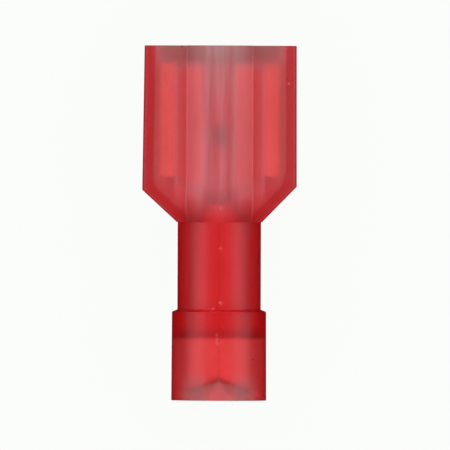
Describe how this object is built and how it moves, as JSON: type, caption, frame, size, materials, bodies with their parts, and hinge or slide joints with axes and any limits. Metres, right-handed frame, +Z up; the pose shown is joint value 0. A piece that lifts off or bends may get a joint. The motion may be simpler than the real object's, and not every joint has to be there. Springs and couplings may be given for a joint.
{
  "type": "insulated female spade connector",
  "caption": "Fully insulated female spade connector: translucent red nylon housing, folded tinned brass receptacle and a rolled crimp sleeve for thin hook-up wire",
  "frame": {"origin": "under the middle of the part, on the surface that it lies on", "axes": "+Y out of the mouth that takes the tab, +Z up through the seams and rolled edges, X across the flat head"},
  "size_m": [0.0092, 0.021, 0.0056],
  "materials": {
    "red_nylon": "moulded translucent nylon, faintly hazy",
    "tinned_brass": "stamped sheet brass with a thin matt tin plating",
    "tinned_sleeve": "rolled sheet with a thin tin plating"
  },
  "bodies": {
    "root": {"nylon_housing": "red_nylon", "brass_terminal": "tinned_brass", "crimp_sleeve": "tinned_sleeve"}
  },
  "joints": []
}
